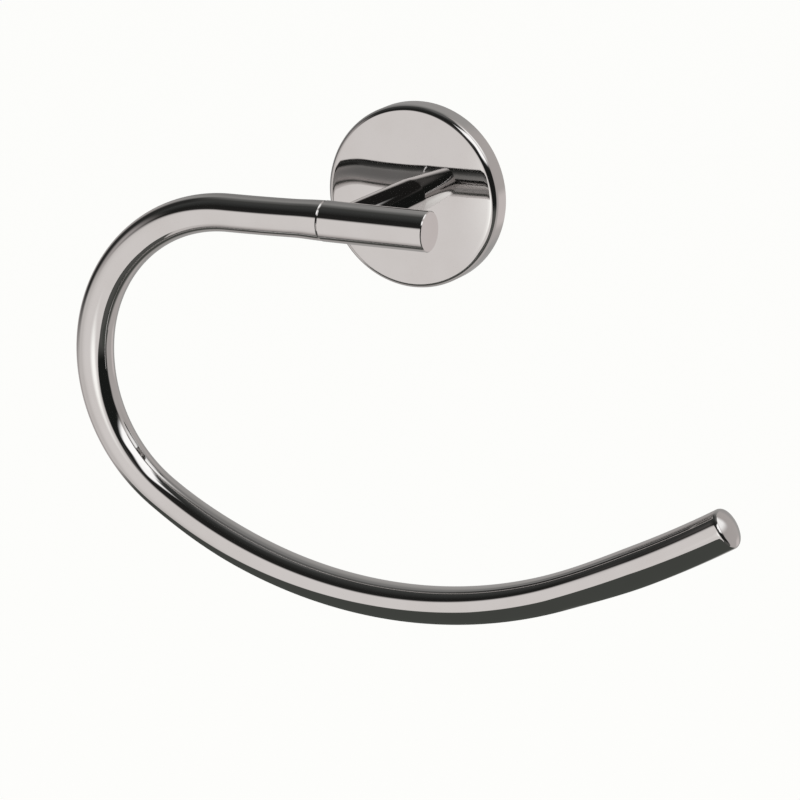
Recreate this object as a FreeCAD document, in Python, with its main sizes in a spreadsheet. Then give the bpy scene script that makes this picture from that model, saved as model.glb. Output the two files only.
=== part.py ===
import FreeCAD, Part
import math
import os

import Sketcher

# Towel ring for a bathroom wall, in millimetres.
# The origin is the centre of the rosette's back, on the wall. +Z is up, +X is to the right seen from
# the room, and the whole object stands out of the wall towards -Y. A "depth" is a distance from the wall.

doc = FreeCAD.newDocument("towel_ring")

# Driving dimensions

SIZES = [
    ("rosette_radius", 27.5, "outside of the rosette"),
    ("rosette_depth", 8.8, "from the wall to the flat seat at the middle of the face"),
    ("rosette_crown", 1.6, "how far the top of the rounded edge lies below the flat seat"),
    ("rosette_edge_round", 2.2, "rounding between face and rim"),
    ("rosette_rim_wall", 3.4, "wall of the rim, which holds the set screw's thread"),
    ("rosette_face_wall", 2.8, "wall of the face at its seat"),
    ("bracket_thickness", 4.2, "wall bracket"),
    ("bracket_clearance", 0.3, "radial room between bracket and rosette"),
    ("bracket_bore_radius", 8.0, "room for the head of the clamp screw"),
    ("groove_depth", 1.2, "V groove round the bracket, 90 degrees, at half its thickness plus the bias"),
    ("groove_bias", 0.3, "how much further from the wall than the middle the groove lies"),
    ("wall_hole_radius", 2.25, "hole for a wall screw"),
    ("wall_hole_spacing", 32.0, "between the two wall screws"),
    ("countersink_radius", 4.5, "mouth of the countersink"),
    ("set_screw_radius", 1.5, "grub screw in the underside of the rim"),
    ("set_screw_recess", 0.3, "its outer end lies this far inside the rim"),
    ("set_screw_tip_radius", 0.4, "flat at the end of its cone"),
    ("set_screw_key", 1.5, "its socket, across flats"),
    ("set_screw_key_depth", 2.0, "depth of its socket"),
    ("post_radius", 5.75, "outside of the post"),
    ("post_spigot_radius", 3.5, "spigot that centres the post in the rosette"),
    ("post_spigot_clearance", 0.1, "radial room round that spigot"),
    ("post_spigot_relief", 0.2, "the spigot is this much shorter than the face is thick"),
    ("axis_depth", 46.2, "from the wall to the axis of barrel and bar"),
    ("barrel_radius", 6.0, "outside of the barrel"),
    ("barrel_right", 24.9, "from the post's centre to the barrel's flat end"),
    ("seam_left", 8.6, "from the post's centre to the seam with the bar"),
    ("seam_chamfer", 0.35, "chamfer on both sides of the seam"),
    ("barrel_edge", 0.25, "chamfer at the barrel's flat end"),
    ("spigot_radius", 4.0, "spigot of the bar inside the barrel"),
    ("spigot_clearance", 0.05, "radial room round that spigot"),
    ("spigot_length", 19.5, "how far the bar goes into the barrel"),
    ("spigot_end_gap", 0.5, "room behind the end of the spigot"),
    ("bar_radius", 5.6, "bent bar"),
    ("collar_radius", 5.9, "bar at the seam"),
    ("collar_length", 10.0, "stretch over which the bar narrows from the seam"),
    ("straight_length", 29.2, "from the seam to the start of the tight bend"),
    ("bend_radius", 47.4, "tight bend, at the bar's axis"),
    ("bend_angle", 145.5, "degrees"),
    ("sweep_radius", 141.4, "wide sweep, at the bar's axis"),
    ("sweep_angle", 60.6, "degrees"),
    ("tail_length", 46.0, "straight end of the bar"),
    ("tail_radius", 6.15, "bar at its free end"),
    ("flare_length", 16.0, "stretch over which the tail thickens"),
    ("tail_round", 1.2, "rounding of the free end"),
    ("clamp_screw_radius", 2.5, "screw that pulls rosette, post, barrel and bar together"),
    ("clamp_screw_cover", 1.2, "the screw ends this far inside the far side of the bar's spigot"),
    ("clamp_screw_point", 0.6, "chamfer at its end"),
    ("thread_clearance", 0.05, "radial room where a screw sits in its thread"),
    ("clearance_hole_gap", 0.2, "radial room where a screw passes through"),
    ("clamp_head_radius", 4.25, "head of the clamp screw"),
    ("clamp_head_height", 2.6, "head of the clamp screw"),
    ("clamp_key", 3.0, "its socket, across flats"),
    ("clamp_key_depth", 1.6, "depth of its socket"),
    ("washer_radius", 5.5, "washer under the clamp screw's head"),
    ("washer_thickness", 1.0, "washer under the clamp screw's head"),
]

sizes = doc.addObject("Spreadsheet::Sheet", "sizes")
for row, (alias, value, note) in enumerate(SIZES, start=1):
    sizes.set(f"A{row}", alias)
    sizes.set(f"B{row}", str(value))
    sizes.setAlias(f"B{row}", alias)
    sizes.set(f"C{row}", note)
doc.recompute()


def read(alias):
    """A size as the sheet holds it."""
    return float(sizes.get(alias))


# Depths that several pieces share, as formulas on the sheet

SEAT = "sizes.rosette_depth"
FLOOR = "(sizes.rosette_depth - sizes.rosette_face_wall)"
EDGE = "(sizes.rosette_depth - sizes.rosette_crown)"
BRACKET_RADIUS = "(sizes.rosette_radius - sizes.rosette_rim_wall - sizes.bracket_clearance)"
GROOVE = "(sizes.bracket_thickness / 2 + sizes.groove_bias)"
WASHER_TOP = f"({FLOOR} - sizes.washer_thickness)"
AXIS = "sizes.axis_depth"
SEAM = "(-sizes.seam_left)"
BEND_START = "(-sizes.seam_left - sizes.straight_length)"
PASSING_HOLE = "(sizes.clamp_screw_radius + sizes.clearance_hole_gap)"
THREAD_HOLE = "(sizes.clamp_screw_radius + sizes.thread_clearance)"

# Headings of the bar, in degrees from +X towards +Z: it leaves the barrel at 180
AFTER_BEND = "((180 + sizes.bend_angle) * 1 deg)"
AFTER_SWEEP = "((180 + sizes.bend_angle + sizes.sweep_angle) * 1 deg)"
TAIL_X = (
    f"({BEND_START} + (sizes.bend_radius - sizes.sweep_radius) * sin{AFTER_BEND}"
    f" + sizes.sweep_radius * sin{AFTER_SWEEP})"
)
TAIL_Z = (
    f"(-sizes.bend_radius - (sizes.bend_radius - sizes.sweep_radius) * cos{AFTER_BEND}"
    f" - sizes.sweep_radius * cos{AFTER_SWEEP})"
)

UP = FreeCAD.Vector(0, 0, 1)
QUARTER = math.pi / 2

# Lengths this near to each other count as equal when an edge is picked
SAME = 1e-4


# Sketching

def new_body(label):
    body = doc.addObject("PartDesign::Body", label)
    body.Label = label
    return body


def new_sketch(body, name, plane, depth=None, shift=None):
    """A sketch on one of the body's planes, moved along the plane's normal by the formula depth.

    XZ_Plane looks out of the wall (its normal is -Y), YZ_Plane looks to the right and XY_Plane up.
    shift gives formulas for a move within the plane.
    """
    sketch = body.newObject("Sketcher::SketchObject", name)
    origin_plane = next(f for f in body.Origin.OriginFeatures if f.Role == plane)
    sketch.AttachmentSupport = [(origin_plane, "")]
    sketch.MapMode = "FlatFace"
    if depth:
        sketch.setExpression("AttachmentOffset.Base.z", depth)
    if shift:
        sketch.setExpression("AttachmentOffset.Base.x", shift[0])
        sketch.setExpression("AttachmentOffset.Base.y", shift[1])
    return sketch


def bind(sketch, formula, *constraint):
    """Add a constraint whose value is a formula on the sheet."""
    index = sketch.addConstraint(Sketcher.Constraint(*constraint))
    sketch.setExpression(f"Constraints[{index}]", formula)


def place(sketch, geometry, point, x, y, start):
    """Tie one point of a sketch to the formulas x and y; start is where it lies now."""
    bind(sketch, x, "DistanceX", -1, 1, geometry, point, start[0])
    bind(sketch, y, "DistanceY", -1, 1, geometry, point, start[1])


def join(sketch, one, its_point, other, other_point):
    sketch.addConstraint(Sketcher.Constraint("Coincident", one, its_point, other, other_point))


def circle(sketch, radius, x="0", y="0"):
    """A circle; it starts at the origin with radius 1 and its ties move it."""
    index = sketch.addGeometry(Part.Circle(FreeCAD.Vector(), UP, 1.0), False)
    bind(sketch, radius, "Radius", index, 1.0)
    place(sketch, index, 3, x, y, (0.0, 0.0))


def polygon(sketch, corners, closed=True):
    """An outline of straight sides; its corners start on a circle and their ties move them."""
    count = len(corners)
    turn = 2 * math.pi / count
    starts = [FreeCAD.Vector(math.cos(turn * k), math.sin(turn * k), 0) for k in range(count)]
    sides = count if closed else count - 1
    first = sketch.GeometryCount
    for k in range(sides):
        sketch.addGeometry(Part.LineSegment(starts[k], starts[(k + 1) % count]), False)
    joints = sides if closed else sides - 1
    for k in range(joints):
        sketch.addConstraint(Sketcher.Constraint("Coincident", first + k, 2, first + (k + 1) % count, 1))
    for k, (x, y) in enumerate(corners):
        side, point = (k, 1) if k < sides else (k - 1, 2)
        place(sketch, first + side, point, x, y, (starts[k].x, starts[k].y))
    doc.recompute()
    return first, first + sides - 1


def hexagon(sketch, across_flats):
    """A regular hexagon about the sketch's origin, with two flats level."""
    reach = f"({across_flats} / sqrt(3))"
    corners = [(f"{reach} * cos({60 * k} deg)", f"{reach} * sin({60 * k} deg)") for k in range(6)]
    polygon(sketch, corners)


# Features

def pad(body, name, sketch, length, reverse=False):
    feature = body.newObject("PartDesign::Pad", name)
    feature.Profile = sketch
    feature.setExpression("Length", length)
    feature.Reversed = reverse
    return feature


def pocket(body, name, sketch, length=None, reverse=False):
    """Cut a sketch against its plane's normal, or along it; with no length it goes right through."""
    feature = body.newObject("PartDesign::Pocket", name)
    feature.Profile = sketch
    if length:
        feature.setExpression("Length", length)
    else:
        feature.Type = 1
        feature.Midplane = True
    feature.Reversed = reverse
    return feature


def revolve(body, name, sketch, axis):
    feature = body.newObject("PartDesign::Revolution", name)
    feature.Profile = sketch
    feature.ReferenceAxis = (sketch, [axis])
    feature.Angle = 360.0
    return feature


def round_edges(body, name, wanted, radius):
    """Round the edges of the body's last feature that the test wanted picks."""
    doc.recompute()
    base = body.Tip
    names = [f"Edge{k}" for k, edge in enumerate(base.Shape.Edges, start=1) if wanted(edge)]
    feature = body.newObject("PartDesign::Fillet", name)
    feature.Base = (base, names)
    feature.setExpression("Radius", radius)
    return feature


def chamfer_edges(body, name, wanted, size):
    """Chamfer the edges of the body's last feature that the test wanted picks."""
    doc.recompute()
    base = body.Tip
    names = [f"Edge{k}" for k, edge in enumerate(base.Shape.Edges, start=1) if wanted(edge)]
    feature = body.newObject("PartDesign::Chamfer", name)
    feature.Base = (base, names)
    feature.setExpression("Size", size)
    return feature


def is_circle(edge, radius):
    return isinstance(edge.Curve, Part.Circle) and abs(edge.Curve.Radius - radius) < SAME


# Wall bracket: a turned disc with a V groove round its rim and two countersunk holes

def make_wall_bracket():
    body = new_body("wall_bracket")
    outline = new_sketch(body, "bracket_outline", "XY_Plane")
    polygon(outline, [
        ("sizes.bracket_bore_radius", "0"),
        (BRACKET_RADIUS, "0"),
        (BRACKET_RADIUS, f"-({GROOVE} - sizes.groove_depth)"),
        (f"{BRACKET_RADIUS} - sizes.groove_depth", f"-{GROOVE}"),
        (BRACKET_RADIUS, f"-({GROOVE} + sizes.groove_depth)"),
        (BRACKET_RADIUS, "-sizes.bracket_thickness"),
        ("sizes.bracket_bore_radius", "-sizes.bracket_thickness"),
    ])
    revolve(body, "bracket_disc", outline, "V_Axis")
    doc.recompute()
    centres = new_sketch(body, "wall_hole_centres", "XZ_Plane", "sizes.bracket_thickness")
    for side in (-1, 1):
        circle(centres, "sizes.wall_hole_radius", x=f"{side} * sizes.wall_hole_spacing / 2")
    doc.recompute()
    holes = body.newObject("PartDesign::Hole", "wall_holes")
    holes.Profile = centres
    holes.ThreadType = "None"
    holes.DepthType = "ThroughAll"
    holes.HoleCutType = "Countersink"
    holes.HoleCutCustomValues = True
    holes.HoleCutCountersinkAngle = 90.0
    holes.setExpression("Diameter", "2 * sizes.wall_hole_radius")
    holes.setExpression("HoleCutDiameter", "2 * sizes.countersink_radius")
    return body


# Rosette: a turned cup with a domed face, open towards the wall

def make_rosette():
    body = new_body("rosette")
    outline = new_sketch(body, "rosette_outline", "XY_Plane")
    rim_inside = "(sizes.rosette_radius - sizes.rosette_rim_wall)"
    hole = "(sizes.post_spigot_radius + sizes.post_spigot_clearance)"
    # Straight sides from the face's seat, through its hole, inside and wall edge, up the rim
    first, last = polygon(outline, [
        ("sizes.post_radius", f"-{SEAT}"),
        (hole, f"-{SEAT}"),
        (hole, f"-{FLOOR}"),
        (rim_inside, f"-{FLOOR}"),
        (rim_inside, "0"),
        ("sizes.rosette_radius", "0"),
        ("sizes.rosette_radius", f"-({EDGE} - sizes.rosette_edge_round)"),
    ], closed=False)
    # From its flat seat the face falls as part of a large sphere, which runs into the rounded edge
    edge_round, depth = read("rosette_edge_round"), read("rosette_depth")
    seat = FreeCAD.Vector(read("post_radius"), -depth, 0)
    across = read("rosette_radius") - edge_round
    centre = FreeCAD.Vector(across, edge_round + read("rosette_crown") - depth, 0)
    slope = 2 * read("rosette_crown") / across
    touch = centre + FreeCAD.Vector(math.sin(slope), -math.cos(slope), 0) * edge_round
    height = (touch.Length ** 2 - seat.Length ** 2) / (2 * (touch.y - seat.y))
    middle = FreeCAD.Vector(0, height, 0)
    from_touch = math.atan2(touch.y - height, touch.x)
    from_seat = math.atan2(seat.y - height, seat.x)
    crown_circle = Part.Circle(middle, UP, (seat - middle).Length)
    crown = outline.addGeometry(Part.ArcOfCircle(crown_circle, from_seat, from_touch), False)
    rounding_circle = Part.Circle(centre, UP, edge_round)
    rounding = outline.addGeometry(Part.ArcOfCircle(rounding_circle, slope - QUARTER, 0), False)
    join(outline, crown, 1, first, 1)
    outline.addConstraint(Sketcher.Constraint("PointOnObject", crown, 3, -2))
    outline.addConstraint(Sketcher.Constraint("Tangent", crown, 2, rounding, 1))
    outline.addConstraint(Sketcher.Constraint("Tangent", rounding, 2, last, 2))
    bind(outline, "sizes.rosette_edge_round", "Radius", rounding, edge_round)
    revolve(body, "rosette_cup", outline, "V_Axis")
    # Threaded hole for the set screw, down through the underside of the rim
    hole_sketch = new_sketch(body, "set_screw_hole_outline", "XY_Plane")
    circle(hole_sketch, "sizes.set_screw_radius + sizes.thread_clearance", y=f"-{GROOVE}")
    pocket(body, "set_screw_hole", hole_sketch, "2 * sizes.rosette_radius")
    return body


# Set screw: cone point in the bracket's groove, hex socket towards the floor

def make_set_screw():
    body = new_body("set_screw")
    groove_floor = f"({BRACKET_RADIUS} - sizes.groove_depth)"
    tip = f"({groove_floor} + sizes.set_screw_tip_radius)"
    shoulder = f"({groove_floor} + sizes.set_screw_radius)"
    outer_end = "(sizes.rosette_radius - sizes.set_screw_recess)"
    outline = new_sketch(body, "set_screw_outline", "YZ_Plane", shift=(f"-{GROOVE}", "0"))
    polygon(outline, [
        ("0", f"-{tip}"),
        ("sizes.set_screw_tip_radius", f"-{tip}"),
        ("sizes.set_screw_radius", f"-{shoulder}"),
        ("sizes.set_screw_radius", f"-{outer_end}"),
        ("0", f"-{outer_end}"),
    ])
    revolve(body, "set_screw_turning", outline, "V_Axis")
    socket = new_sketch(body, "set_screw_socket_outline", "XY_Plane", f"-{outer_end}", ("0", f"-{GROOVE}"))
    hexagon(socket, "sizes.set_screw_key")
    pocket(body, "set_screw_socket", socket, "sizes.set_screw_key_depth", reverse=True)
    return body


# Post: a sleeve coped to the barrel, with a spigot into the rosette

def make_post():
    body = new_body("post")
    round_sketch = new_sketch(body, "post_outline", "XZ_Plane", SEAT)
    circle(round_sketch, "sizes.post_radius")
    pad(body, "post_round", round_sketch, f"{AXIS} - {SEAT}")
    spigot_sketch = new_sketch(body, "post_spigot_outline", "XZ_Plane", SEAT)
    circle(spigot_sketch, "sizes.post_spigot_radius")
    spigot_length = "sizes.rosette_face_wall - sizes.post_spigot_relief"
    pad(body, "post_spigot", spigot_sketch, spigot_length, reverse=True)
    cope_sketch = new_sketch(body, "cope_outline", "YZ_Plane")
    circle(cope_sketch, "sizes.barrel_radius", x=f"-{AXIS}")
    pocket(body, "cope", cope_sketch)
    bore_sketch = new_sketch(body, "post_bore_outline", "XZ_Plane")
    circle(bore_sketch, PASSING_HOLE)
    pocket(body, "post_bore", bore_sketch)
    return body


# Barrel: round bar across the post, with a blind socket for the bar's spigot

def make_barrel():
    body = new_body("barrel")
    outline = new_sketch(body, "barrel_outline", "YZ_Plane", SEAM)
    circle(outline, "sizes.barrel_radius", x=f"-{AXIS}")
    pad(body, "barrel_round", outline, "sizes.seam_left + sizes.barrel_right")
    outside = read("barrel_radius")
    chamfer_edges(
        body,
        "barrel_seam_edge",
        lambda edge: is_circle(edge, outside) and edge.BoundBox.XMax < 0,
        "sizes.seam_chamfer",
    )
    chamfer_edges(
        body,
        "barrel_end_edge",
        lambda edge: is_circle(edge, outside) and edge.BoundBox.XMin > read("barrel_right") / 2,
        "sizes.barrel_edge",
    )
    socket = new_sketch(body, "socket_outline", "YZ_Plane", SEAM)
    circle(socket, "sizes.spigot_radius + sizes.spigot_clearance", x=f"-{AXIS}")
    pocket(body, "socket", socket, "sizes.spigot_length + sizes.spigot_end_gap", reverse=True)
    # The clamp screw passes only the wall side of the barrel
    passing = new_sketch(body, "barrel_hole_outline", "XZ_Plane", AXIS)
    circle(passing, PASSING_HOLE)
    pocket(body, "barrel_hole", passing, "2 * sizes.barrel_radius")
    return body


# Ring: one bent bar, from its spigot in the barrel to its free end

def make_ring():
    body = new_body("ring")
    # Spigot, seam chamfer, collar and the straight stretch, turned about the barrel's axis
    head = new_sketch(body, "head_outline", "XZ_Plane", AXIS)
    polygon(head, [
        (BEND_START, "0"),
        (f"{SEAM} + sizes.spigot_length", "0"),
        (f"{SEAM} + sizes.spigot_length", "sizes.spigot_radius"),
        (SEAM, "sizes.spigot_radius"),
        (SEAM, "sizes.collar_radius - sizes.seam_chamfer"),
        (f"{SEAM} - sizes.seam_chamfer", "sizes.collar_radius"),
        (f"{SEAM} - sizes.collar_length", "sizes.bar_radius"),
        (BEND_START, "sizes.bar_radius"),
    ])
    revolve(body, "ring_head", head, "H_Axis")

    # The tight bend and the wide sweep are two tangent arcs
    path = new_sketch(body, "bend_path", "XZ_Plane", AXIS)
    start = FreeCAD.Vector(-read("seam_left") - read("straight_length"), 0, 0)
    bend, sweep = read("bend_radius"), read("sweep_radius")
    after_bend = QUARTER + math.radians(read("bend_angle"))
    after_sweep = after_bend + math.radians(read("sweep_angle"))
    bend_circle = Part.Circle(start - FreeCAD.Vector(0, bend, 0), UP, bend)
    outward = FreeCAD.Vector(math.cos(after_bend), math.sin(after_bend), 0)
    sweep_circle = Part.Circle(bend_circle.Center + outward * (bend - sweep), UP, sweep)
    bend_arc = path.addGeometry(Part.ArcOfCircle(bend_circle, QUARTER, after_bend), False)
    sweep_arc = path.addGeometry(Part.ArcOfCircle(sweep_circle, after_bend, after_sweep), False)
    path.addConstraint(Sketcher.Constraint("Vertical", bend_arc, 3, bend_arc, 1))
    path.addConstraint(Sketcher.Constraint("Tangent", bend_arc, 2, sweep_arc, 1))
    place(path, bend_arc, 1, BEND_START, "0", (start.x, start.y))
    bind(path, "sizes.bend_radius", "Radius", bend_arc, bend)
    bind(path, "sizes.sweep_radius", "Radius", sweep_arc, sweep)
    bind(path, "sizes.bend_angle * 1 deg", "Angle", bend_arc, math.radians(read("bend_angle")))
    bind(path, "sizes.sweep_angle * 1 deg", "Angle", sweep_arc, math.radians(read("sweep_angle")))
    section = new_sketch(body, "bar_section", "YZ_Plane", BEND_START)
    circle(section, "sizes.bar_radius", x=f"-{AXIS}")
    pipe = body.newObject("PartDesign::AdditivePipe", "ring_bends")
    pipe.Profile = section
    pipe.Spine = path
    pipe.SpineTangent = True

    # The tail is turned about its own axis and thickens along a taper
    tail = new_sketch(body, "tail_outline", "XZ_Plane", AXIS, (TAIL_X, TAIL_Z))
    tail.setExpression("AttachmentOffset.Rotation.Angle", AFTER_SWEEP)
    polygon(tail, [
        ("0", "0"),
        ("0", "sizes.bar_radius"),
        ("sizes.flare_length", "sizes.tail_radius"),
        ("sizes.tail_length", "sizes.tail_radius"),
        ("sizes.tail_length", "0"),
    ])
    revolve(body, "ring_tail", tail, "H_Axis")
    doc.recompute()
    root = tail.getGlobalPlacement().Base
    length, thick = read("tail_length"), read("tail_radius")
    round_edges(
        body,
        "free_end",
        lambda edge: is_circle(edge, thick) and edge.Curve.Center.distanceToPoint(root) > length - SAME,
        "sizes.tail_round",
    )

    # Thread for the clamp screw, across the spigot
    thread = new_sketch(body, "spigot_thread_outline", "XZ_Plane", AXIS)
    circle(thread, THREAD_HOLE)
    pocket(body, "spigot_thread", thread)
    return body


# Clamp screw: low head inside the rosette, point inside the bar's spigot

def make_clamp_screw():
    body = new_body("clamp_screw")
    head_top = f"({WASHER_TOP} - sizes.clamp_head_height)"
    point = f"({AXIS} + sizes.spigot_radius - sizes.clamp_screw_cover)"
    outline = new_sketch(body, "clamp_screw_outline", "XY_Plane")
    polygon(outline, [
        ("0", f"-{head_top}"),
        ("sizes.clamp_head_radius", f"-{head_top}"),
        ("sizes.clamp_head_radius", f"-{WASHER_TOP}"),
        ("sizes.clamp_screw_radius", f"-{WASHER_TOP}"),
        ("sizes.clamp_screw_radius", f"-({point} - sizes.clamp_screw_point)"),
        ("sizes.clamp_screw_radius - sizes.clamp_screw_point", f"-{point}"),
        ("0", f"-{point}"),
    ])
    revolve(body, "clamp_screw_turning", outline, "V_Axis")
    socket = new_sketch(body, "clamp_socket_outline", "XZ_Plane", head_top)
    hexagon(socket, "sizes.clamp_key")
    pocket(body, "clamp_socket", socket, "sizes.clamp_key_depth", reverse=True)
    return body


# Washer under the clamp screw's head

def make_clamp_washer():
    body = new_body("clamp_washer")
    outline = new_sketch(body, "washer_outline", "XZ_Plane", WASHER_TOP)
    circle(outline, "sizes.washer_radius")
    circle(outline, PASSING_HOLE)
    pad(body, "washer_disc", outline, "sizes.washer_thickness")
    return body


pieces = [
    make_wall_bracket(),
    make_rosette(),
    make_set_screw(),
    make_post(),
    make_barrel(),
    make_ring(),
    make_clamp_screw(),
    make_clamp_washer(),
]
doc.recompute()

for thing in doc.Objects:
    bad_states = {"Invalid", "Error"} & set(thing.State)
    if bad_states:
        raise RuntimeError(f"{thing.Name} is {sorted(bad_states)}")
for piece in pieces:
    shape = piece.Shape
    if shape.isNull() or not shape.isValid() or len(shape.Solids) != 1:
        raise RuntimeError(f"{piece.Label} isn't one valid solid")

os.makedirs("parts", exist_ok=True)
for piece in pieces:
    piece.Shape.exportStep(f"parts/{piece.Label}.step")
    print(f"{piece.Label}: {piece.Shape.Volume:.1f} mm3")
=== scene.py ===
import math

import bpy
from mathutils import Matrix, Vector


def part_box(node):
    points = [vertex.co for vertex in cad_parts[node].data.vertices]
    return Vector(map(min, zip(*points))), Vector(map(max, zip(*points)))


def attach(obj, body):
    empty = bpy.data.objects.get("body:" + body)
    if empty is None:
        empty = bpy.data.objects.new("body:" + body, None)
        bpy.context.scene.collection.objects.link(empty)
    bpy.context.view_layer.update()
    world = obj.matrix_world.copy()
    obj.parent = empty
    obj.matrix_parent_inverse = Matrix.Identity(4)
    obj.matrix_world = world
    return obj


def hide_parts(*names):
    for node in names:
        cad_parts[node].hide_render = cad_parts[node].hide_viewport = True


# Towel ring for a bathroom wall. Lengths are in metres, the wall is the plane y = 0 and the room lies
# towards -Y. Rosette, post, barrel and ring are turned, spun and cut here. The bracket, the screws and
# the washer behind the rosette keep the frame's shapes and get their finishes.

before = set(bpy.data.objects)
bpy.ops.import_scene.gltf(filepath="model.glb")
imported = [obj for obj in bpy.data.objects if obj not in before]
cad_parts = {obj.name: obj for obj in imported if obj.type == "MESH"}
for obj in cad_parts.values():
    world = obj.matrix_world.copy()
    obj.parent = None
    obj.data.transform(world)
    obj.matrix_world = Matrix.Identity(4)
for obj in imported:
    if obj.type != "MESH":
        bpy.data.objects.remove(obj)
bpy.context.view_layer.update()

MM = 0.001
QUARTER = math.pi / 2

# Places that the frame gives
rosette_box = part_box("rosette")
post_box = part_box("post")
barrel_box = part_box("barrel")
washer_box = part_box("clamp_washer")
set_screw_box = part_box("set_screw")

ROSETTE_RADIUS = (rosette_box[1].x - rosette_box[0].x) / 2
ROSETTE_DEPTH = -rosette_box[0].y
ROSETTE_FLOOR = -washer_box[0].y
POST_RADIUS = (post_box[1].x - post_box[0].x) / 2
POST_SPIGOT_END = -post_box[1].y
BARREL_RADIUS = (barrel_box[1].z - barrel_box[0].z) / 2
BARREL_RIGHT = barrel_box[1].x
SEAM = barrel_box[0].x
AXIS_DEPTH = -(barrel_box[0].y + barrel_box[1].y) / 2
SPIGOT_LENGTH = 19.5 * MM

# Sizes of the rosette, whose face is part of a large sphere
FACE_SPHERE_RADIUS = 192.9 * MM
ROSETTE_EDGE_ROUND = 2.2 * MM
ROSETTE_RIM_WALL = 3.4 * MM
POST_SPIGOT_RADIUS = 3.5 * MM
POST_SPIGOT_ROOM = 0.1 * MM
SET_SCREW_HOLE_RADIUS = 1.55 * MM

# Sizes of the barrel and of the screw holes
SEAM_CHAMFER = 0.35 * MM
BARREL_EDGE = 0.25 * MM
SOCKET_RADIUS = 4.05 * MM
SOCKET_LENGTH = 20.0 * MM
PASSING_HOLE_RADIUS = 2.7 * MM
THREAD_HOLE_RADIUS = 2.55 * MM

# Sizes of the ring. Its tail ends in a rounded edge and a dome, part of a sphere with a tiny flat at
# its pole.
SPIGOT_RADIUS = 4.0 * MM
COLLAR_RADIUS = 5.9 * MM
BAR_RADIUS = 5.6 * MM
PINCHED_RADIUS = 5.3 * MM
TAIL_RADIUS = 6.15 * MM
TAIL_ROUND = 1.4 * MM
TAIL_SPHERE_RADIUS = 12.0 * MM
TAIL_POLE = 0.3 * MM

# Stretches of the bar from the seam: length along its axis, turn in degrees, bar's radius at the end.
# The bar thins a little where it was bent most, and thickens towards its free end.
BAR_STRETCHES = (
    (9.7 * MM, 1.9, BAR_RADIUS),
    (21.2 * MM, -1.4, BAR_RADIUS),
    (66.4 * MM, 83.1, BAR_RADIUS),
    (53.6 * MM, 62.5, PINCHED_RADIUS),
    (30.0 * MM, 12.2, BAR_RADIUS),
    (106.3 * MM, 43.3, BAR_RADIUS),
    (28.0 * MM, 4.5, TAIL_RADIUS),
    (28.4 * MM, 4.7, TAIL_RADIUS),
)

# How finely round forms are divided, and how near two places are taken for one
ROUND_THE_ROSETTE = 240
ROUND_THE_BAR = 96
EDGE_STEPS = 10
FACE_RINGS = 24
TAIL_FACE_RINGS = 12
BAR_STEP = 1.2 * MM
ROUND_A_HOLE = 48
CREASE_ANGLE = math.radians(25)
MERGE_WITHIN = 1e-7
SAME_PLACE = 1e-6


# Ways of modelling: a ring of edges is drawn out step by step, closed, and bored

def start_ring(name, sides, radius, centre, axis):
    """A circle of edges square to the axis, open in edit mode and selected all over."""
    bpy.ops.object.select_all(action="DESELECT")
    turn = axis.to_track_quat("Z", "Y").to_euler()
    bpy.ops.mesh.primitive_circle_add(vertices=sides, radius=radius, location=centre, rotation=turn)
    piece = bpy.context.object
    piece.name = name
    piece.data.name = name
    bpy.ops.object.transform_apply(location=True, rotation=True, scale=True)
    bpy.ops.object.mode_set(mode="EDIT")
    bpy.ops.mesh.select_all(action="SELECT")
    return piece


def turn_profile(centre, axis, start_radius, steps):
    """Draw the selected ring along the steps (distance along the axis, radius) measured from centre."""
    radius = start_radius
    along = 0.0
    for distance, next_radius in steps:
        shift = axis * (distance - along)
        bpy.ops.mesh.extrude_region_move(TRANSFORM_OT_translate={"value": shift})
        if next_radius != radius:
            share = next_radius / radius
            middle = centre + axis * distance
            bpy.ops.transform.resize(value=(share, share, share), center_override=middle)
        radius = next_radius
        along = distance


def close_piece(piece):
    """Merge the seams, point the faces outwards, leave edit mode and shade it by angle."""
    bpy.ops.mesh.select_all(action="SELECT")
    bpy.ops.mesh.remove_doubles(threshold=MERGE_WITHIN)
    bpy.ops.mesh.normals_make_consistent(inside=False)
    bpy.ops.object.mode_set(mode="OBJECT")
    shade_piece(piece)


def shade_piece(piece):
    """Smooth shading, with a crease where two faces meet at more than CREASE_ANGLE."""
    bpy.ops.object.select_all(action="DESELECT")
    piece.select_set(True)
    bpy.context.view_layer.objects.active = piece
    bpy.ops.object.shade_smooth_by_angle(angle=CREASE_ANGLE)


def cut_round(piece, radius, start, end, sides=ROUND_A_HOLE):
    """Bore a round hole of the radius from start to end."""
    bpy.ops.object.select_all(action="DESELECT")
    way = end - start
    bpy.ops.mesh.primitive_cylinder_add(
        vertices=sides,
        radius=radius,
        depth=way.length,
        location=(start + end) / 2,
        rotation=way.to_track_quat("Z", "Y").to_euler(),
    )
    cutter = bpy.context.object
    bpy.ops.object.transform_apply(location=True, rotation=True, scale=True)
    bore = piece.modifiers.new("bore", "BOOLEAN")
    bore.operation = "DIFFERENCE"
    bore.solver = "EXACT"
    bore.object = cutter
    bpy.context.view_layer.objects.active = piece
    bpy.ops.object.modifier_apply(modifier=bore.name)
    bpy.data.objects.remove(cutter)
    shade_piece(piece)


def round_edge(radius, reach, steps):
    """Points of a rounding as (distance along, distance inwards), from its side through the angle reach."""
    angles = [reach * k / steps for k in range(1, steps + 1)]
    return [(radius * math.sin(a), radius * (1 - math.cos(a))) for a in angles]


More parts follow.
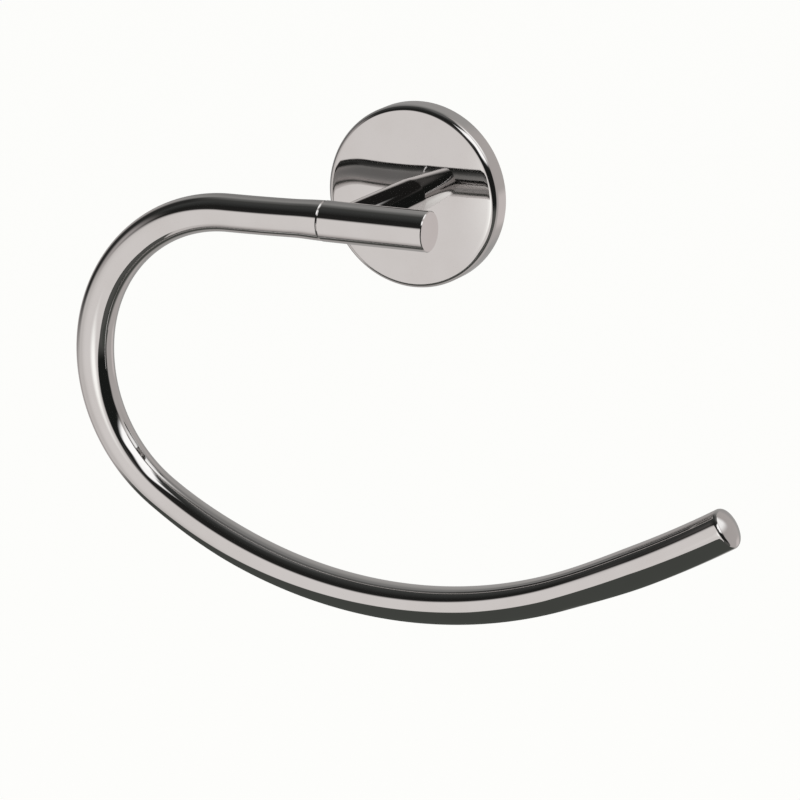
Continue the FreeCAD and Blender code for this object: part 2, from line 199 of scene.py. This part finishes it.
def domed_end(radius, sphere_radius, edge_round, inner_radius, face_rings):
    """Points of a round end as (distance along, radius), from its side over the rounded edge and in across
    the face, which is part of a sphere. The rounded edge touches the sphere from inside."""
    fall = math.asin((radius - edge_round) / (sphere_radius - edge_round))
    edge = round_edge(edge_round, QUARTER - fall, EDGE_STEPS)
    points = [(along, radius - inwards) for along, inwards in edge]
    sphere_middle = -(sphere_radius - edge_round) * math.cos(fall)
    face_reach = sphere_radius * math.sin(fall)
    for k in range(1, face_rings + 1):
        reach = face_reach + (inner_radius - face_reach) * k / face_rings
        points.append((sphere_middle + math.sqrt(sphere_radius ** 2 - reach ** 2), reach))
    return points


def ease(share):
    """A share from 0 to 1 that starts and ends gently."""
    return share * share * (3 - 2 * share)


# Rosette: rim, rounded edge, face and the hollow behind it

def make_rosette():
    axis = Vector((0, -1, 0))
    wall = Vector((0, 0, 0))
    hole_radius = POST_SPIGOT_RADIUS + POST_SPIGOT_ROOM
    inner_rim = ROSETTE_RADIUS - ROSETTE_RIM_WALL
    # The sphere of the face ends at the post's seat
    face = domed_end(ROSETTE_RADIUS, FACE_SPHERE_RADIUS, ROSETTE_EDGE_ROUND, POST_RADIUS, FACE_RINGS)
    rim_top = ROSETTE_DEPTH - face[-1][0]
    outside = [(rim_top, ROSETTE_RADIUS)] + [(rim_top + along, reach) for along, reach in face]
    inside = [
        (ROSETTE_DEPTH, hole_radius),
        (ROSETTE_FLOOR, hole_radius),
        (ROSETTE_FLOOR, inner_rim),
        (0.0, inner_rim),
        (0.0, ROSETTE_RADIUS),
    ]
    piece = start_ring("rosette_shell", ROUND_THE_ROSETTE, ROSETTE_RADIUS, wall, axis)
    turn_profile(wall, axis, ROSETTE_RADIUS, outside + inside)
    close_piece(piece)
    screw_y = (set_screw_box[0].y + set_screw_box[1].y) / 2
    below_the_rim = Vector((0, screw_y, -ROSETTE_RADIUS - MM))
    inside_the_rim = Vector((0, screw_y, -inner_rim + MM))
    cut_round(piece, SET_SCREW_HOLE_RADIUS, below_the_rim, inside_the_rim)
    return piece


# Post: a sleeve with its spigot in the rosette and its far end coped to the barrel

def make_post():
    axis = Vector((0, -1, 0))
    start = Vector((0, -POST_SPIGOT_END, 0))
    seat = ROSETTE_DEPTH - POST_SPIGOT_END
    reach = AXIS_DEPTH - POST_SPIGOT_END
    piece = start_ring("post_sleeve", ROUND_THE_BAR, PASSING_HOLE_RADIUS, start, axis)
    turn_profile(start, axis, PASSING_HOLE_RADIUS, [
        (0.0, POST_SPIGOT_RADIUS),
        (seat, POST_SPIGOT_RADIUS),
        (seat, POST_RADIUS),
        (reach, POST_RADIUS),
        (reach, PASSING_HOLE_RADIUS),
        (0.0, PASSING_HOLE_RADIUS),
    ])
    close_piece(piece)
    middle = Vector((0, -AXIS_DEPTH, 0))
    past = Vector((2 * POST_RADIUS, 0, 0))
    cut_round(piece, BARREL_RADIUS, middle - past, middle + past, 2 * ROUND_THE_BAR)
    return piece


# Barrel: flat right end, chamfered seam on the left with the socket for the ring behind it

def make_barrel():
    axis = Vector((1, 0, 0))
    seam = Vector((SEAM, -AXIS_DEPTH, 0))
    length = BARREL_RIGHT - SEAM
    seam_to_screw = -SEAM
    piece = start_ring("barrel_round", ROUND_THE_BAR, SOCKET_RADIUS, seam, axis)
    turn_profile(seam, axis, SOCKET_RADIUS, [
        (0.0, BARREL_RADIUS - SEAM_CHAMFER),
        (SEAM_CHAMFER, BARREL_RADIUS),
        (seam_to_screw - POST_RADIUS, BARREL_RADIUS),
        (seam_to_screw + POST_RADIUS, BARREL_RADIUS),
        (length - BARREL_EDGE, BARREL_RADIUS),
        (length, BARREL_RADIUS - BARREL_EDGE),
    ])
    bpy.ops.mesh.edge_face_add()
    select_ring(piece, seam, axis, SOCKET_RADIUS)
    turn_profile(seam, axis, SOCKET_RADIUS, [(SOCKET_LENGTH, SOCKET_RADIUS)])
    bpy.ops.mesh.edge_face_add()
    close_piece(piece)
    middle = Vector((0, -AXIS_DEPTH, 0))
    cut_round(piece, PASSING_HOLE_RADIUS, middle, middle + Vector((0, 2 * BARREL_RADIUS, 0)))
    return piece


def select_ring(piece, centre, axis, radius):
    """Select the one ring of edges that lies round centre at the radius."""
    bpy.ops.mesh.select_all(action="DESELECT")
    bpy.ops.object.mode_set(mode="OBJECT")
    for vertex in piece.data.vertices:
        offset = vertex.co - centre
        along = offset.dot(axis)
        across = (offset - axis * along).length
        vertex.select = abs(along) < SAME_PLACE and abs(across - radius) < SAME_PLACE
    for edge in piece.data.edges:
        edge.select = all(piece.data.vertices[k].select for k in edge.vertices)
    bpy.ops.object.mode_set(mode="EDIT")


# Ring: one bar with its spigot, collar, bends and thicker free end

def draw_bar(place, heading, radius, stretches):
    """Draw the selected ring along the stretches, and give back where it ends and which way it points."""
    turn_axis = Vector((0, -1, 0))
    for length, turn, end_radius in stretches:
        steps = max(1, round(length / BAR_STEP))
        angle = math.radians(turn) / steps
        bend_radius = length / math.radians(turn)
        centre = place + turn_axis.cross(heading) * bend_radius
        start_radius = radius
        for k in range(1, steps + 1):
            # Spin turns against its axis
            bpy.ops.mesh.spin(steps=1, angle=angle, center=centre, axis=-turn_axis)
            step_turn = Matrix.Rotation(angle, 3, turn_axis)
            place = centre + step_turn @ (place - centre)
            heading = step_turn @ heading
            next_radius = start_radius + (end_radius - start_radius) * ease(k / steps)
            if end_radius != start_radius:
                share = next_radius / radius
                bpy.ops.transform.resize(value=(share, share, share), center_override=place)
            radius = next_radius
    return place, heading


def make_ring():
    left = Vector((-1, 0, 0))
    seam = Vector((SEAM, -AXIS_DEPTH, 0))
    spigot_end = seam - left * SPIGOT_LENGTH
    end_to_screw = SPIGOT_LENGTH + SEAM
    piece = start_ring("ring_bar", ROUND_THE_BAR, SPIGOT_RADIUS, spigot_end, left)
    bpy.ops.mesh.edge_face_add()
    turn_profile(spigot_end, left, SPIGOT_RADIUS, [
        (end_to_screw - SPIGOT_RADIUS, SPIGOT_RADIUS),
        (end_to_screw + SPIGOT_RADIUS, SPIGOT_RADIUS),
        (SPIGOT_LENGTH, SPIGOT_RADIUS),
        (SPIGOT_LENGTH, COLLAR_RADIUS - SEAM_CHAMFER),
        (SPIGOT_LENGTH + SEAM_CHAMFER, COLLAR_RADIUS),
    ])
    tip, heading = draw_bar(seam + left * SEAM_CHAMFER, left, COLLAR_RADIUS, BAR_STRETCHES)
    dome = domed_end(TAIL_RADIUS, TAIL_SPHERE_RADIUS, TAIL_ROUND, TAIL_POLE, TAIL_FACE_RINGS)
    turn_profile(tip, heading, TAIL_RADIUS, dome)
    bpy.ops.mesh.edge_face_add()
    close_piece(piece)
    middle = Vector((0, -AXIS_DEPTH, 0))
    across = Vector((0, 1.5 * SPIGOT_RADIUS, 0))
    cut_round(piece, THREAD_HOLE_RADIUS, middle - across, middle + across)
    return piece


# Finishes

def node(tree, kind, **values):
    """A new node of the kind, with its own settings."""
    made = tree.nodes.new(kind)
    for name, value in values.items():
        setattr(made, name, value)
    return made


def polish_group():
    """What polishing leaves: a colour that hardly changes, faint haze, and a very low waviness."""
    group = bpy.data.node_groups.new("polish", "ShaderNodeTree")
    sockets = group.interface
    sockets.new_socket("Metal", in_out="INPUT", socket_type="NodeSocketColor")
    sockets.new_socket("Haze", in_out="INPUT", socket_type="NodeSocketColor")
    for name in ("Mottle scale", "Wave scale", "Smooth", "Dull"):
        sockets.new_socket(name, in_out="INPUT", socket_type="NodeSocketFloat")
    sockets.new_socket("Color", in_out="OUTPUT", socket_type="NodeSocketColor")
    sockets.new_socket("Roughness", in_out="OUTPUT", socket_type="NodeSocketFloat")
    sockets.new_socket("Height", in_out="OUTPUT", socket_type="NodeSocketFloat")
    entry = node(group, "NodeGroupInput")
    leave = node(group, "NodeGroupOutput")
    place = node(group, "ShaderNodeTexCoord")
    link = group.links.new

    mottle = node(group, "ShaderNodeTexNoise", noise_dimensions="3D")
    mottle.inputs["Detail"].default_value = 4.0
    link(place.outputs["Object"], mottle.inputs["Vector"])
    link(entry.outputs["Mottle scale"], mottle.inputs["Scale"])
    spread = node(group, "ShaderNodeMapRange", interpolation_type="SMOOTHSTEP")
    spread.inputs["From Min"].default_value = 0.35
    spread.inputs["From Max"].default_value = 0.75
    link(mottle.outputs["Fac"], spread.inputs["Value"])
    tint = node(group, "ShaderNodeMix", data_type="RGBA")
    link(spread.outputs["Result"], tint.inputs["Factor"])
    link(entry.outputs["Metal"], tint.inputs["A"])
    link(entry.outputs["Haze"], tint.inputs["B"])
    link(tint.outputs["Result"], leave.inputs["Color"])
    dull = node(group, "ShaderNodeMapRange")
    link(spread.outputs["Result"], dull.inputs["Value"])
    link(entry.outputs["Smooth"], dull.inputs["To Min"])
    link(entry.outputs["Dull"], dull.inputs["To Max"])
    link(dull.outputs["Result"], leave.inputs["Roughness"])

    wave = node(group, "ShaderNodeTexNoise", noise_dimensions="3D")
    wave.inputs["Detail"].default_value = 1.0
    link(place.outputs["Object"], wave.inputs["Vector"])
    link(entry.outputs["Wave scale"], wave.inputs["Scale"])
    link(wave.outputs["Fac"], leave.inputs["Height"])
    return group


POLISH = polish_group()


def metal(name, colour, haze, smooth, dull, mottle_scale, wave_scale, wave_height):
    """A metal finish; wave_height is the height of its waviness in metres."""
    made = bpy.data.materials.new(name)
    made.use_nodes = True
    tree = made.node_tree
    link = tree.links.new
    surface = tree.nodes["Principled BSDF"]
    surface.inputs["Metallic"].default_value = 1.0
    finish = node(tree, "ShaderNodeGroup", node_tree=POLISH)
    finish.inputs["Metal"].default_value = (*colour, 1.0)
    finish.inputs["Haze"].default_value = (*haze, 1.0)
    finish.inputs["Smooth"].default_value = smooth
    finish.inputs["Dull"].default_value = dull
    finish.inputs["Mottle scale"].default_value = mottle_scale
    finish.inputs["Wave scale"].default_value = wave_scale
    link(finish.outputs["Color"], surface.inputs["Base Color"])
    link(finish.outputs["Roughness"], surface.inputs["Roughness"])
    bump = node(tree, "ShaderNodeBump")
    bump.inputs["Distance"].default_value = wave_height
    bump.inputs["Strength"].default_value = 1.0
    link(finish.outputs["Height"], bump.inputs["Height"])
    link(bump.outputs["Normal"], surface.inputs["Normal"])
    return made


def dress(piece, finish):
    """Give a piece one finish all over."""
    piece.data.materials.clear()
    piece.data.materials.append(finish)


chrome = metal(
    "polished_chrome",
    colour=(0.63, 0.62, 0.616),
    haze=(0.61, 0.597, 0.59),
    smooth=0.03,
    dull=0.05,
    mottle_scale=90.0,
    wave_scale=60.0,
    wave_height=0.00001,
)
cast_metal = metal(
    "cast_bracket",
    colour=(0.62, 0.62, 0.63),
    haze=(0.48, 0.48, 0.49),
    smooth=0.38,
    dull=0.55,
    mottle_scale=400.0,
    wave_scale=1500.0,
    wave_height=0.00006,
)
screw_steel = metal(
    "turned_steel",
    colour=(0.60, 0.60, 0.60),
    haze=(0.50, 0.50, 0.50),
    smooth=0.22,
    dull=0.34,
    mottle_scale=600.0,
    wave_scale=900.0,
    wave_height=0.00001,
)

for maker, stands_for in (
    (make_rosette, "rosette"),
    (make_post, "post"),
    (make_barrel, "barrel"),
    (make_ring, "ring"),
):
    made_piece = maker()
    dress(made_piece, chrome)
    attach(made_piece, "root")
    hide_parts(stands_for)

dress(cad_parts["wall_bracket"], cast_metal)
for screw_part in ("set_screw", "clamp_screw", "clamp_washer"):
    dress(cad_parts[screw_part], screw_steel)


# Studio: a white sweep, soft lamps, and a room of soft cards that only the polished metal shows.
# FLOOR_PAPER is the share of plain white in what the camera sees of the floor; the rest is its own shade.

PAPER_WHITE = (0.991, 0.991, 0.973)
SOFT_LIGHT = (0.7, 0.7, 0.69)  # from the world, on dull surfaces
FLOOR_COLOUR = (0.8, 0.8, 0.79)
FLOOR_ROUGHNESS = 0.9
FLOOR_SIZE = 24.0
FLOOR_HEIGHT = -300 * MM
FLOOR_PAPER = 0.97


def towards(azimuth, elevation):
    """The direction in degrees: azimuth 0 is out of the wall, 90 to the right; elevation is above level."""
    a = math.radians(azimuth)
    e = math.radians(elevation)
    return Vector((math.sin(a) * math.cos(e), -math.cos(a) * math.cos(e), math.sin(e)))


def maths(tree, operation, first, second=0.0):
    """A Math node's result; first and second are sockets or numbers."""
    made = node(tree, "ShaderNodeMath", operation=operation)
    for entry, given in zip(made.inputs, (first, second)):
        if isinstance(given, (int, float)):
            entry.default_value = given
        else:
            tree.links.new(given, entry)
    return made.outputs["Value"]


def fade(tree, value, none_at, full_at):
    """Smoothly from 0, where the value is none_at, to 1, where it is full_at."""
    made = node(tree, "ShaderNodeMapRange", interpolation_type="SMOOTHSTEP")
    made.inputs["From Min"].default_value = none_at
    made.inputs["From Max"].default_value = full_at
    tree.links.new(value, made.inputs["Value"])
    return made.outputs["Result"]


def soft_ends(tree, coordinate, low, high):
    """1 inside and 0 at both ends of a coordinate from 0 to 1; low and high are the widths of the fades."""
    return maths(tree, "MULTIPLY", fade(tree, coordinate, 0.0, low), fade(tree, coordinate, 1.0, 1.0 - high))


def card_finish(name, colour, softness):
    """Light of one colour that fades out at the left, right, lower and upper border. softness gives the
    width of each fade as a share of the card."""
    made = bpy.data.materials.new(name)
    made.use_nodes = True
    tree = made.node_tree
    tree.nodes.clear()
    link = tree.links.new
    place = node(tree, "ShaderNodeTexCoord")
    split = node(tree, "ShaderNodeSeparateXYZ")
    link(place.outputs["UV"], split.inputs["Vector"])
    across = soft_ends(tree, split.outputs["X"], *softness[:2])
    up = soft_ends(tree, split.outputs["Y"], *softness[2:])
    glow = node(tree, "ShaderNodeEmission")
    glow.inputs["Color"].default_value = (*colour, 1.0)
    clear = node(tree, "ShaderNodeBsdfTransparent")
    blend = node(tree, "ShaderNodeMixShader")
    link(maths(tree, "MULTIPLY", across, up), blend.inputs["Fac"])
    link(clear.outputs["BSDF"], blend.inputs[1])
    link(glow.outputs["Emission"], blend.inputs[2])
    out = node(tree, "ShaderNodeOutputMaterial")
    link(blend.outputs["Shader"], out.inputs["Surface"])
    return made


def card(name, lower, upper, colour, softness):
    """A card that only mirrors see. lower and upper are the corners of its two long borders, from left to
    right."""
    bpy.ops.object.select_all(action="DESELECT")
    bpy.ops.mesh.primitive_grid_add(x_subdivisions=len(lower) - 1, y_subdivisions=1, size=1.0)
    made = bpy.context.object
    made.name = name
    for vertex, corner in zip(made.data.vertices, lower + upper):
        vertex.co = corner
    made.data.materials.append(card_finish(name, colour, softness))
    made.visible_camera = False
    made.visible_diffuse = False
    made.visible_shadow = False


def upright(depth, *places):
    """Corners on an upright plane that far in front of the wall, from (x, z), all in millimetres."""
    return [Vector((x, -depth, z)) * MM for x, z in places]


def level(height, *places):
    """Corners on a level plane, from (x, y), all in millimetres."""
    return [Vector((x, y, height)) * MM for x, y in places]


def make_cards():
    card(
        "front_card",
        upright(605, (-1300, -1300), (-200, -1400), (100, -1400), (300, -1080), (640, -500)),
        upright(605, (-1300, 460), (-200, 285), (100, 140), (300, -30), (640, -390)),
        (0.94, 0.90, 0.88),
        softness=(0.22, 0.04, 0.01, 0.08),
    )
    card(
        "front_glow",
        upright(600, (-180, -340), (290, -340)),
        upright(600, (-150, 60), (300, -80)),
        (1.5, 1.5, 1.46),
        softness=(0.45, 0.4, 0.6, 0.28),
    )
    card(
        "wall_shade",
        upright(-2, (-130, -55), (20, -55)),
        upright(-2, (-130, 110), (20, 110)),
        (0.28, 0.275, 0.27),
        softness=(0.4, 0.35, 0.35, 0.5),
    )
    card(
        "low_card",
        level(-122, (-145, -56), (30, -73), (50, -85), (66, -113), (140, -117)),
        level(-122, (-150, 15), (30, 15), (50, 13), (66, 8), (150, -5)),
        (0.078, 0.083, 0.075),
        softness=(0.05, 0.03, 0.03, 0.45),
    )
    card(
        "tail_card",
        level(-121.5, (64, -112), (150, -117)),
        level(-121.5, (64, 12), (150, 2)),
        (0.078, 0.083, 0.075),
        softness=(0.1, 0.05, 0.02, 0.2),
    )


def patch_group():
    """A rectangle on the sky with soft borders; its middle, half sizes and softness are in radians."""
    group = bpy.data.node_groups.new("sky_patch", "ShaderNodeTree")
    sockets = group.interface
    sockets.new_socket("Direction", in_out="INPUT", socket_type="NodeSocketVector")
    for name in ("Azimuth", "Elevation", "Half width", "Half height", "Softness"):
        sockets.new_socket(name, in_out="INPUT", socket_type="NodeSocketFloat")
    sockets.new_socket("Mask", in_out="OUTPUT", socket_type="NodeSocketFloat")
    entry = node(group, "NodeGroupInput")
    leave = node(group, "NodeGroupOutput")
    link = group.links.new
    # The sky is turned until the patch's middle lies straight out of the wall
    turned = node(group, "ShaderNodeVectorRotate", rotation_type="Z_AXIS")
    link(entry.outputs["Direction"], turned.inputs["Vector"])
    link(maths(group, "MULTIPLY", entry.outputs["Azimuth"], -1.0), turned.inputs["Angle"])
    split = node(group, "ShaderNodeSeparateXYZ")
    link(turned.outputs["Vector"], split.inputs["Vector"])
    azimuth = maths(group, "ARCTAN2", split.outputs["X"], maths(group, "MULTIPLY", split.outputs["Y"], -1.0))
    elevation = maths(group, "ARCSINE", split.outputs["Z"])
    from_middle = maths(group, "SUBTRACT", elevation, entry.outputs["Elevation"])
    masks = []
    for offset, half in ((azimuth, "Half width"), (from_middle, "Half height")):
        beyond = maths(group, "SUBTRACT", maths(group, "ABSOLUTE", offset), entry.outputs[half])
        share = maths(group, "DIVIDE", beyond, entry.outputs["Softness"])
        masks.append(fade(group, share, 1.0, 0.0))
    link(maths(group, "MULTIPLY", *masks), leave.inputs["Mask"])
    return group


# What mirrors show over the top of the ring: degrees from straight out of the wall (0) through
# straight up (90) and into the wall (180), and its colour
OVER_THE_TOP = (
    (-180, (0.43, 0.42, 0.41)),
    (-140, (0.43, 0.42, 0.41)),
    (-112, (0.46, 0.44, 0.425)),
    (-90, (0.75, 0.71, 0.69)),
    (15, (0.75, 0.71, 0.69)),
    (27, (0.022, 0.021, 0.02)),
    (50, (0.019, 0.019, 0.018)),
    (78, (0.056, 0.058, 0.056)),
    (92, (0.069, 0.07, 0.066)),
    (108, (0.21, 0.21, 0.205)),
    (122, (0.36, 0.355, 0.345)),
    (145, (0.45, 0.44, 0.425)),
    (165, (0.44, 0.425, 0.42)),
    (180, (0.43, 0.42, 0.41)),
)

# Soft areas over that: azimuth, elevation, half width, half height and softness in degrees, colour
ROOM = (
    (-100, -35, 28, 50, 18, (0.50, 0.465, 0.455)),
    (-76, -25, 20, 20, 14, (0.76, 0.725, 0.705)),
    (-103, 22, 8, 22, 20, (0.031, 0.031, 0.03)),
    (127, 0, 35, 62, 16, (0.57, 0.535, 0.52)),
    (38, -42, 60, 46, 8, (0.106, 0.106, 0.10)),
    (38, 4, 56, 15, 10, (0.015, 0.016, 0.015)),
    (0, 90, 180, 6, 14, (0.15, 0.15, 0.148)),
    (65, 43, 19, 13, 8, (1.56, 1.56, 1.56)),
    (36, 46, 12, 6, 8, (1.5, 1.5, 1.5)),
    (117, 48, 9, 9, 18, (1.35, 1.35, 1.34)),
    (154, -15, 6, 6, 6, (0.76, 0.70, 0.685)),
)


def make_world():
    """White for the camera, the painted room for mirrors and soft light for the rest."""
    world = bpy.data.worlds.new("studio")
    bpy.context.scene.world = world
    world.use_nodes = True
    tree = world.node_tree
    tree.nodes.clear()
    link = tree.links.new
    direction = node(tree, "ShaderNodeTexCoord").outputs["Generated"]
    patch = patch_group()
    split = node(tree, "ShaderNodeSeparateXYZ")
    link(direction, split.inputs["Vector"])
    out_of_the_wall = maths(tree, "MULTIPLY", split.outputs["Y"], -1.0)
    over = maths(tree, "ARCTAN2", split.outputs["Z"], out_of_the_wall)
    share = node(tree, "ShaderNodeMapRange")
    share.inputs["From Min"].default_value = -math.pi
    share.inputs["From Max"].default_value = math.pi
    link(over, share.inputs["Value"])
    ramp = node(tree, "ShaderNodeValToRGB")
    link(share.outputs["Result"], ramp.inputs["Fac"])
    stops = ramp.color_ramp.elements
    while len(stops) < len(OVER_THE_TOP):
        stops.new(0.5)
    for stop, (angle, stop_colour) in zip(stops, OVER_THE_TOP):
        stop.position = (angle + 180) / 360
        stop.color = (*stop_colour, 1.0)
    colour = ramp.outputs["Color"]
    for *angles, patch_colour in ROOM:
        made = node(tree, "ShaderNodeGroup", node_tree=patch)
        link(direction, made.inputs["Direction"])
        for name, angle in zip(("Azimuth", "Elevation", "Half width", "Half height", "Softness"), angles):
            made.inputs[name].default_value = math.radians(angle)
        painted = node(tree, "ShaderNodeMix", data_type="RGBA")
        painted.inputs["B"].default_value = (*patch_colour, 1.0)
        link(made.outputs["Mask"], painted.inputs["Factor"])
        link(colour, painted.inputs["A"])
        colour = painted.outputs["Result"]
    rays = node(tree, "ShaderNodeLightPath")
    room = node(tree, "ShaderNodeBackground")
    link(colour, room.inputs["Color"])
    seen = node(tree, "ShaderNodeBackground")
    seen.inputs["Color"].default_value = (*PAPER_WHITE, 1.0)
    light = node(tree, "ShaderNodeBackground")
    light.inputs["Color"].default_value = (*SOFT_LIGHT, 1.0)
    mirrored = node(tree, "ShaderNodeMixShader")
    link(rays.outputs["Is Glossy Ray"], mirrored.inputs["Fac"])
    link(light.outputs["Background"], mirrored.inputs[1])
    link(room.outputs["Background"], mirrored.inputs[2])
    shown = node(tree, "ShaderNodeMixShader")
    link(rays.outputs["Is Camera Ray"], shown.inputs["Fac"])
    link(mirrored.outputs["Shader"], shown.inputs[1])
    link(seen.outputs["Background"], shown.inputs[2])
    out = node(tree, "ShaderNodeOutputWorld")
    link(shown.outputs["Shader"], out.inputs["Surface"])


def make_floor():
    """A pale sweep below the ring: paper white to the camera, with a little of its own shade left."""
    bpy.ops.object.select_all(action="DESELECT")
    bpy.ops.mesh.primitive_plane_add(size=FLOOR_SIZE, location=(0, 0, FLOOR_HEIGHT))
    floor = bpy.context.object
    floor.name = "floor"
    floor.visible_glossy = False
    made = bpy.data.materials.new("pale_floor")
    made.use_nodes = True
    tree = made.node_tree
    link = tree.links.new
    surface = tree.nodes["Principled BSDF"]
    surface.inputs["Base Color"].default_value = (*FLOOR_COLOUR, 1.0)
    surface.inputs["Roughness"].default_value = FLOOR_ROUGHNESS
    paper = node(tree, "ShaderNodeEmission")
    paper.inputs["Color"].default_value = (*PAPER_WHITE, 1.0)
    rays = node(tree, "ShaderNodeLightPath")
    blend = node(tree, "ShaderNodeMixShader")
    link(maths(tree, "MULTIPLY", rays.outputs["Is Camera Ray"], FLOOR_PAPER), blend.inputs["Fac"])
    link(surface.outputs["BSDF"], blend.inputs[1])
    link(paper.outputs["Emission"], blend.inputs[2])
    link(blend.outputs["Shader"], tree.nodes["Material Output"].inputs["Surface"])
    floor.data.materials.append(made)


def make_lamp(name, azimuth, elevation, distance, size, power):
    """A soft lamp for the dull surfaces and the floor; mirrors show the cards instead."""
    lamp = bpy.data.lights.new(name, "AREA")
    lamp.size = size
    lamp.energy = power
    made = bpy.data.objects.new(name, lamp)
    bpy.context.scene.collection.objects.link(made)
    back = towards(azimuth, elevation)
    made.location = back * distance
    made.rotation_euler = back.to_track_quat("Z", "Y").to_euler()
    made.visible_glossy = False


def make_camera():
    """The photograph's view: its turn, height and roll were fitted to the rosette, barrel and bar."""
    azimuth = 26.09
    elevation = 14.63
    roll = -0.149
    distance = 1.5
    focal_pixels = 5132.97
    image_pixels = 800
    target = Vector((7.443 * MM, -30 * MM, -55.363 * MM))
    back = towards(azimuth, elevation)
    right = back.cross(Vector((0, 0, -1))).normalized()
    up = back.cross(right)
    turn = Matrix((right, up, back)).transposed() @ Matrix.Rotation(math.radians(roll), 3, "Z")
    data = bpy.data.cameras.new("camera")
    camera = bpy.data.objects.new("camera", data)
    bpy.context.scene.collection.objects.link(camera)
    camera.matrix_world = Matrix.Translation(target + back * distance) @ turn.to_4x4()
    data.sensor_width = 36.0
    data.lens = focal_pixels / image_pixels * data.sensor_width
    data.clip_start = 0.01
    data.clip_end = 20.0
    bpy.context.scene.camera = camera


make_cards()
make_world()
make_floor()
make_lamp("key_lamp", azimuth=50, elevation=48, distance=1.2, size=0.8, power=7)
make_lamp("fill_lamp", azimuth=-50, elevation=30, distance=1.2, size=1.0, power=3)
make_camera()

bpy.context.scene.view_settings.view_transform = "Standard"
